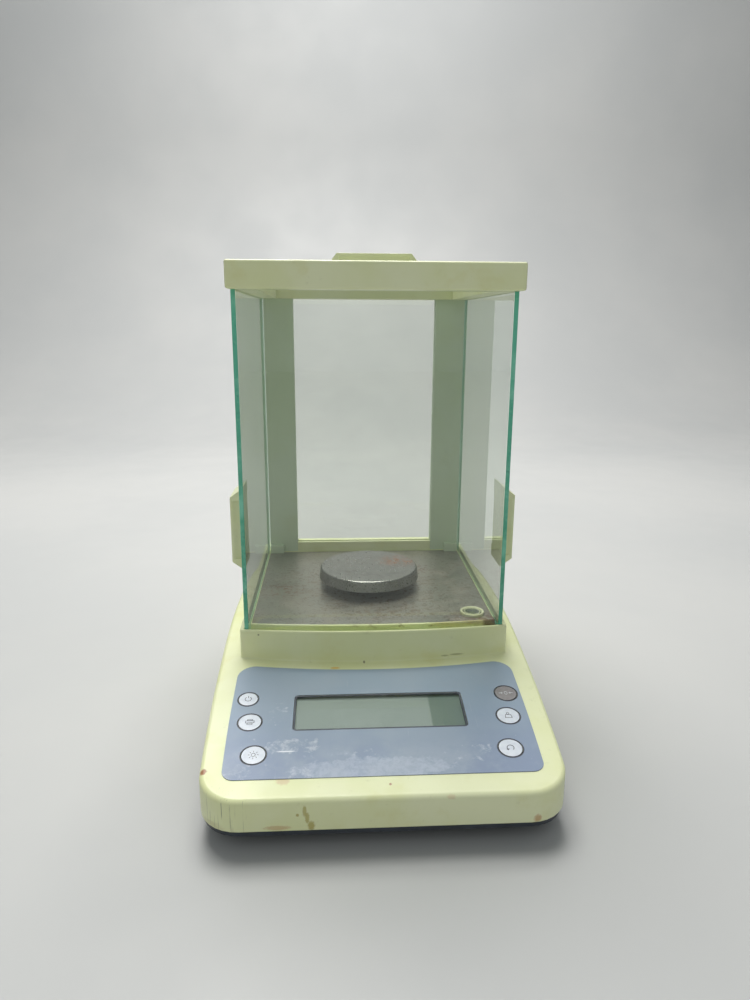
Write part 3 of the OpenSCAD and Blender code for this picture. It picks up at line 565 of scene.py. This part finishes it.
def build_shell():
    """The housing, each kind of edge rounded by its own width. All picks see edges of the CAD shape."""
    bm = cad_copy("upper_housing")
    low, floor = (corner.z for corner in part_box("upper_housing"))

    def at_deck(e):
        return all(abs(v.co.z - min(floor, NOSE_Z + (v.co.y - FRONT_Y) * math.tan(DECK_ANGLE))) < 0.15 * MM
                   for v in e.verts)

    def middle(e):
        return (e.verts[0].co + e.verts[1].co) / 2

    def outward(e):
        """The upright face beside an edge, when the other face looks up."""
        up = [f for f in e.link_faces if f.normal.z > 0.9]
        side = [f for f in e.link_faces if abs(f.normal.z) < 0.2]
        return side[0].normal if up and side else None

    def at_floor(e):
        return outward(e) is not None and min(v.co.z for v in e.verts) >= floor - 1e-4

    def plinth_corner(e):
        a, b = (v.co for v in e.verts)
        return (abs(abs(a.x) - PLINTH_SIDE) < 2e-4 and abs(a.x - b.x) < 1e-5 and abs(a.y - b.y) < 1e-5
                and PLINTH_Y < a.y < PLINTH_CORNER_END and abs(a.z - b.z) > 10 * MM)

    def rim(e):
        if not at_deck(e) or outward(e) is None:
            return False
        m, n = middle(e), outward(e)
        if m.y < NOSE_END and n.y < -0.3:
            return True
        return m.x * n.x > 0 and abs(m.x) > PLINTH_SIDE + 0.4 * MM and m.y < RIM_END

    def rail(e):
        if not at_deck(e) or not at_floor(e):
            return False
        m, n = middle(e), outward(e)
        return m.y > RAIL_START and (n.y > 0.1 or m.x * n.x > 0 and abs(m.x) > PLINTH_SIDE - 3 * MM)

    def wall_base(e):
        if not at_deck(e) or outward(e) is None or max(v.co.z for v in e.verts) > floor - 0.8 * MM:
            return False
        m, n = middle(e), outward(e)
        on_side = abs(abs(m.x) - PLINTH_SIDE) < 2.2 * MM and abs(n.x) > 0.5
        return (on_side or n.y < -0.5 and abs(m.x) < PLINTH_SIDE) and PLINTH_Y < m.y

    def plinth_top(e):
        if not at_floor(e):
            return False
        m, n = middle(e), outward(e)
        on_side = m.x * n.x > 0 and abs(m.x) > PLINTH_SIDE - 2.2 * MM and m.y < PLINTH_TOP_END
        return on_side or n.y < -0.5 and PLINTH_Y < m.y < LIP_END

    def ridge(e):
        if not at_floor(e):
            return False
        m, n = middle(e), outward(e)
        return n.y < -0.5 and abs(m.x) < RIDGE_END and LIP_END < m.y < RIDGE_REAR

    def lower_edge(e):
        return all(abs(v.co.z - low) < 1e-4 for v in e.verts) and any(
            abs(f.normal.z) < 0.2 and f.normal.dot(middle(e)) > 0 for f in e.link_faces)

    def fine(e):
        return e.calc_length() > 4 * MM and middle(e).z > floor - 4 * MM and max(
            f.normal.z for f in e.link_faces) > 0.9

    for width, segments, pick in ((1.8, 5, plinth_corner), (2.8, 6, rim), (1.1, 3, wall_base), (1.2, 4, plinth_top),
                                  (0.8, 3, ridge), (0.8, 3, rail), (0.5, 2, lower_edge)):
        round_edges(bm, width, segments, pick, clamp=False)
    round_edges(bm, 0.2, 2, fine, 60)
    finish_mesh(bm, "shell", ["shell"], "base", ["upper_housing"])


def build_top_frame():
    """The frame over the glass, with its outer edges rounded more than those of its opening."""
    bm = cad_copy("top_frame")
    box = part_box("top_frame")

    def outside(e):
        shared = [axis for axis in range(3) for corner in box
                  if all(abs(v.co[axis] - corner[axis]) < 5e-5 for v in e.verts)]
        at_rear = min(v.co.y for v in e.verts) >= box[1].y - 1e-4
        return len(shared) == 2 and e.calc_length() > 10 * MM and not at_rear

    round_edges(bm, 1.55, 5, outside, clamp=False)
    round_edges(bm, 0.35, 2, lambda e: e.calc_length() > 3 * MM, 60)
    finish_mesh(bm, "shield_top", ["plastic"], "base", ["top_frame"])


build_shell()
refined("bottom_tray", "tray", "tray_paint", 0.5, 2, "tray", angle=40)
build_top_frame()
for side in ("left", "right"):
    refined(f"rear_post_{side}", "post", "shell_plastic", 0.4, 2)
    refined(f"{side}_door_handle", "plastic", "shell_plastic", 0.9, 3)
    refined(f"{side}_foot", "black", "black_plastic", 0.3, 2)
    refined(f"{side}_foot_pad", "rubber", "foot_rubber", 0.4, 2)
refined("top_door_handle", "plastic", "shell_plastic", 0.9, 3)
refined("rear_sill", "plastic", "shell_plastic", 0.4, 2)
refined("rear_feet", "rubber", "foot_rubber", 0.8, 3)
refined("rear_panel", "panel", "cast_alloy", 0.25, 2)
refined("floor_plate", "plate", "stainless", 0.2, 2)
refined("pan_support", "steel", "stainless", 0.3, 2)
refined("serial_port", "steel", "screw_steel", 0.25, 2)
refined("dc_inlet", "black", "black_plastic", 0.25, 2)


# ---- Control panel ----

def node_span(node):
    """Lowest and highest corner of a node in the deck's own axes, in millimetres."""
    points = [DECK_BACK @ v.co for v in frame["nodes"][node].data.vertices]
    return [[pick(p[i] for p in points) / MM for i in range(3)] for pick in (min, max)]


def build_overlay():
    bm = cad_copy("control_overlay")
    bm.normal_update()
    for face in bm.faces:
        # faces that do not look up, the film's cut edges, take the dark edge colour, a painted shade
        face.material_index = 0 if abs(face.normal.dot(DECK_UP)) > 0.9 else 1
    window = node_span("lcd_window")

    def window_corner(e):
        a, b = (DECK_BACK @ v.co / MM for v in e.verts)
        near = all(abs(abs(p.x) - window[1][0]) < 0.5 and min(abs(p.y - window[n][1]) for n in (0, 1)) < 0.5
                   for p in (a, b))
        return near and abs(a.z - b.z) > 0.3

    round_edges(bm, 2.6, 6, window_corner, clamp=False)
    round_edges(bm, 0.08, 1, None, 50)
    finish_mesh(bm, "membrane", ["overlay", "overlay_edge"], "base", ["control_overlay"])


def arc_band(radius, width, start, end, steps=20, squeeze=1.0):
    """Outline of an arc-shaped stroke."""
    outside, inside = (arc_points(radius + side * width / 2, start, end, steps) for side in (1, -1))
    return [(x * squeeze, y) for x, y in outside + inside[::-1]]


def bar_at(x, y, w, h):
    return [(x - w / 2, y - h / 2), (x + w / 2, y - h / 2), (x + w / 2, y + h / 2), (x - w / 2, y + h / 2)]


def turned(points, degrees):
    c, s = math.cos(math.radians(degrees)), math.sin(math.radians(degrees))
    return [(x * c - y * s, x * s + y * c) for x, y in points]


def halves(radius, width, squeeze=1.0):
    """A full ring, as two arcs that meet."""
    return [arc_band(radius, width, 90, 270, 20, squeeze), arc_band(radius, width, -90, 90, 20, squeeze)]


def frame_at(x, y, w, h, t):
    """An upright box drawn with four thin bars."""
    return [bar_at(x, y + n * (h - t) / 2, w, t) for n in (-1, 1)] + [
        bar_at(x + n * (w - t) / 2, y, t, h - 2 * t) for n in (-1, 1)]


# The outlines of each key's sign, in millimetres from the key's centre.
PICTOGRAMS = {
    "power": [arc_band(2.3, 0.4, 125, 415, 32), bar_at(0, 2.2, 0.4, 2.4)],
    "print": frame_at(0, 0.1, 5.8, 2.1, 0.36) + frame_at(0, 1.75, 3.6, 1.2, 0.3) + frame_at(0, -1.7, 3.6, 1.5, 0.3),
    "backlight": halves(1.25, 0.36) + [turned(bar_at(0, 2.7, 0.36, 1.1), 45 * n) for n in range(8)],
    "tare": halves(1.5, 0.42, 0.66) + [[(s * 1.9, 0), (s * 3.1, 0.85), (s * 3.1, -0.85)] for s in (-1, 1)]
    + [bar_at(s * 3.9, 0, 1.7, 0.42) for s in (-1, 1)],
    "calibrate": [bar_at(0, -2.05, 4.4, 0.36), bar_at(0, 0.75, 3.4, 0.36)]
    + [[(s * 2.4, -2.2), (s * 1.85, 0.9), (s * 1.5, 0.9), (s * 2.05, -2.2)] for s in (-1, 1)]
    + [[(x, y + 1.9) for x, y in half] for half in halves(0.85, 0.34)],
    "mode": [arc_band(2.1, 0.4, -50, 215, 30), [(-2.8, -0.9), (-0.7, -0.9), (-1.9, -2.2)]],
}


def build_key(kind):
    """A domed cap with its sign, on a stem that reaches its switch, and the printed ring round it."""
    node = "key_" + kind
    low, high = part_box(node)
    (_, up_low, _), (_, up_high, _) = node_span(node)
    where = DECK @ Matrix.Translation(((low.x + high.x) / 2, (up_low + up_high) / 2 * MM, 0))
    radius = (high.x - low.x) / 2 / MM
    face = radius - 0.15
    bm = bmesh.new()
    top = [(0, 0.66), (2.5, 0.655), (4.5, 0.635), (face - 0.7, 0.59), (face - 0.2, 0.55), (face, 0.5)]
    spun(bm, top, where, 72, 0)
    side = [(face, 0.5), (radius - 0.05, 0.47), (radius, 0.36), (radius, -1.7), (radius - 0.1, -1.8),
            (1.7, -1.8), (1.7, -5.3), (1.6, -5.4), (0, -5.4)]
    spun(bm, side, where, 72, 1)
    bmesh.ops.remove_doubles(bm, verts=bm.verts, dist=1e-7)
    scale = 0.9 if kind == "power" else 1.0
    for outline in PICTOGRAMS[kind]:
        prism(bm, [(x * scale, y * scale) for x, y in outline], 0.5, 0.7, where, 2)
    cap, sign = ("key_grey", "ink_light") if kind == "tare" else ("key_white", "ink_dark")
    finish_mesh(bm, "cap_" + kind, [cap, "ink_dark", sign], body_of(node), [node])
    ring = bmesh.new()
    hole = radius + 0.4
    round_ring(ring, hole, hole + 0.6, 0.3, 0.44, where)
    finish_mesh(ring, "ring_" + kind, ["ink_dark"], "base")


build_overlay()
for kind in PICTOGRAMS:
    build_key(kind)


def build_display():
    """A dark printed surround, the clear window inside it, and the bezel and panel behind."""
    (x0, s0, z0), (x1, s1, z1) = node_span("lcd_window")
    middle = DECK @ Matrix.Translation(((x0 + x1) / 2 * MM, (s0 + s1) / 2 * MM, 0))
    w, h, border = x1 - x0, s1 - s0, 1.2
    opening = rounded_rectangle(w - 2 * border, h - 2 * border, 1.6)
    bm = bmesh.new()
    strip_ring(bm, rounded_rectangle(w, h, 0.6), opening, z0, z1, middle)
    round_edges(bm, 0.08, 1)
    finish_mesh(bm, "display_surround", ["bezel"], "base")
    bm = bmesh.new()
    prism(bm, opening, z0 + 0.2, z1 - 0.1, middle)
    finish_mesh(bm, "display_window", ["window"], "base", ["lcd_window"])
    refined("lcd_bezel", "bezel", "black_plastic", 0.15, 1)
    refined("lcd_module", "display", "lcd_panel", 0.3, 2)


build_display()


# ---- Glass ----

def build_pane(node, body):
    """A pane with ground, seamed edges in a second material. The front pane's side ends are polished."""
    low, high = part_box(node)
    size = high - low
    thin = min(range(3), key=lambda i: size[i])
    bm = bmesh.new()
    bmesh.ops.create_cube(bm, size=1, matrix=Matrix.Translation((low + high) / 2) @ Matrix.Diagonal((*size, 1)))
    bmesh.ops.bevel(bm, geom=bm.edges[:], offset=0.35 * MM, segments=1, affect="EDGES")
    bm.normal_update()
    for face in bm.faces:
        clear_end = node == "front_glass" and abs(face.normal.x) > 0.5
        face.material_index = 0 if abs(face.normal[thin]) > 0.95 or clear_end else 1
    finish_mesh(bm, node + "_pane", ["glass", "glass_edge"], body, [node], 20)


for node in ("front_glass", "rear_glass", "left_door_glass", "right_door_glass", "top_door_glass"):
    build_pane(node, body_of(node))


# ---- Pan and level ----

def top_of(node):
    """A round node's top centre as a place, its outer radius, and its underside below the top, in millimetres."""
    low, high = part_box(node)
    centre = (low + high) / 2
    return Matrix.Translation((centre.x, centre.y, high.z)), (high.x - low.x) / 2 / MM, (low.z - high.z) / MM


def build_pan():
    """A shallow dish turned upside down, its rim rolled, with the hub that sits on the cone."""
    where, outer, drop = top_of("weighing_pan")
    top, bend = outer - 1.0, 1.5
    shoulder = [(top - bend + bend * math.sin(math.radians(a)), -bend + bend * math.cos(math.radians(a)))
                for a in range(0, 91, 15)]
    face = [(0, -0.15), (12, -0.15), (26, -0.12), (34, -0.04), (top - 2.6, 0)]
    skirt = [(top + 0.12, -3.0), (top + 0.7, -7.0), (outer - 0.12, drop + 0.5), (outer - 0.05, drop + 0.2),
             (outer - 0.3, drop), (outer - 0.9, drop), (outer - 1.1, drop + 0.2)]
    inside = [(top - 1.0, -3.0), (top - 1.3, -1.9), (top - 2.0, -1.3)]
    hub = [(8.6, -1.3), (8.5, -1.4), (8.5, -5.8), (8.3, -6.0), (6.5, -6.0), (6.3, -5.8), (6.3, -1.4), (6.2, -1.3),
           (0, -1.3)]
    bm = bmesh.new()
    spun(bm, face + shoulder + skirt + inside + hub, where, 160)
    finish_mesh(bm, "pan", ["pan"], "pan", ["weighing_pan"])


def build_level():
    """The spirit level: cup, liquid under its lens, and the inner rim and centring mark."""
    where, r, depth = top_of("level_cup")
    bm = bmesh.new()
    cup = [(0, depth), (r - 0.3, depth), (r, depth + 0.3), (r, -0.5), (r - 0.25, -0.12), (r - 0.6, 0), (r - 1.1, -0.06),
           (r - 1.5, -0.3), (r - 1.7, -0.6), (r - 1.9, -0.65), (r - 2, -0.9), (r - 2, depth + 1.5), (0, depth + 1.5)]
    spun(bm, cup, where, 96)
    finish_mesh(bm, "level_ring", ["level"], "base", ["level_cup"])
    bm = bmesh.new()
    lens = [(0, -0.42), (3.0, -0.46), (5.2, -0.58), (r - 2.4, -0.78), (r - 2.05, -1.0), (r - 2.05, depth + 1.6),
            (0, depth + 1.6)]
    spun(bm, lens, where, 96)
    finish_mesh(bm, "level_glass", ["liquid"], "base", ["level_lens"])
    bm = bmesh.new()
    round_ring(bm, 5.5, 6.1, -0.9, -0.5, where, 0)
    round_ring(bm, 2.9, 3.15, -1.35, -1.25, where, 1)
    finish_mesh(bm, "level_marks", ["level", "ink_dark"], "base")


build_pan()
build_level()


# ---- Inner parts: the CAD shapes in their own finishes ----

INNER = {
    "cast": "cell_base lever_beam load_receiver upper_guide lower_guide cell_cover",
    "steel": "signal_shield coupling_strip pivot_flexures base_screws post_screws cell_screws board_screws",
    "board": "display_board main_board", "black": "key_switches position_sensor", "copper": "coil_winding",
    "former": "coil_former", "yoke": "magnet_yoke cell_magnet pole_piece",
}
for look, nodes in INNER.items():
    for node in nodes.split():
        slots = frame["nodes"][node].data.materials
        if not slots:
            slots.append(None)
        for i in range(len(slots)):
            slots[i] = LOOK[look]


# ---- Stage ----

def build_stage():
    """A pale floor that curves up into a backdrop."""
    k = Look("stage_floor")
    tone = k.mix(k.band(k.noise(2, 4), 0.3, 0.7), srgb(190, 190, 188), srgb(182, 183, 182))
    k.set(Base_Color=tone, Roughness=k.band(k.noise(8, 4), 0.3, 0.7, 0.5, 0.6))
    k.bump(k.noise(300, 3), 0.02, 0.3)
    front, bend_y, bend_r, top, half_width = -4.0, 1.2, 0.9, 3.5, 5
    bend = [(bend_y + bend_r * math.sin(a), bend_r - bend_r * math.cos(a))
            for a in (math.radians(9 * n) for n in range(1, 11))]
    profile = [(front, 0.0), (bend_y, 0.0)] + bend + [(bend_y + bend_r, top)]
    mesh = bpy.data.meshes.new("stage")
    verts = [(x, y, z) for x in (-half_width, half_width) for y, z in profile]
    n = len(profile)
    mesh.from_pydata(verts, [], [(i, i + n, i + n + 1, i + 1) for i in range(n - 1)])
    mesh.materials.append(k.material)
    mesh.polygons.foreach_set("use_smooth", [True] * len(mesh.polygons))
    floor = bpy.data.objects.new("stage", mesh)
    bpy.context.scene.collection.objects.link(floor)


def area_light(name, at, toward, size, power, tone=(1, 1, 1)):
    """A round soft light that faces a point."""
    data = bpy.data.lights.new(name, "AREA")
    data.shape, data.size, data.energy, data.color = "DISK", size, power, tone
    lamp = bpy.data.objects.new(name, data)
    lamp.location = at
    lamp.rotation_mode = "QUATERNION"
    lamp.rotation_quaternion = (Vector(toward) - Vector(at)).to_track_quat("-Z", "Y")
    bpy.context.scene.collection.objects.link(lamp)


build_stage()
area_light("key", at=(-0.15, 0.55, 1.8), toward=(0, 0, 0.05), size=1.1, power=32, tone=(1, 0.99, 0.965))
area_light("fill", at=(-0.5, -1.6, 1.5), toward=(0, 0, 0.15), size=1.6, power=4.5, tone=(0.94, 1, 0.98))
area_light("wash", at=(0, 1.1, 2.3), toward=(0, 2.1, 1.0), size=1.2, power=30)
world = bpy.data.worlds.new("studio")
world.use_nodes = True
sky = world.node_tree.nodes["Background"].inputs
sky["Color"].default_value = (0.93, 0.98, 1.0, 1)
sky["Strength"].default_value = 0.31
bpy.context.scene.world = world
bpy.context.scene.view_settings.view_transform = "Standard"
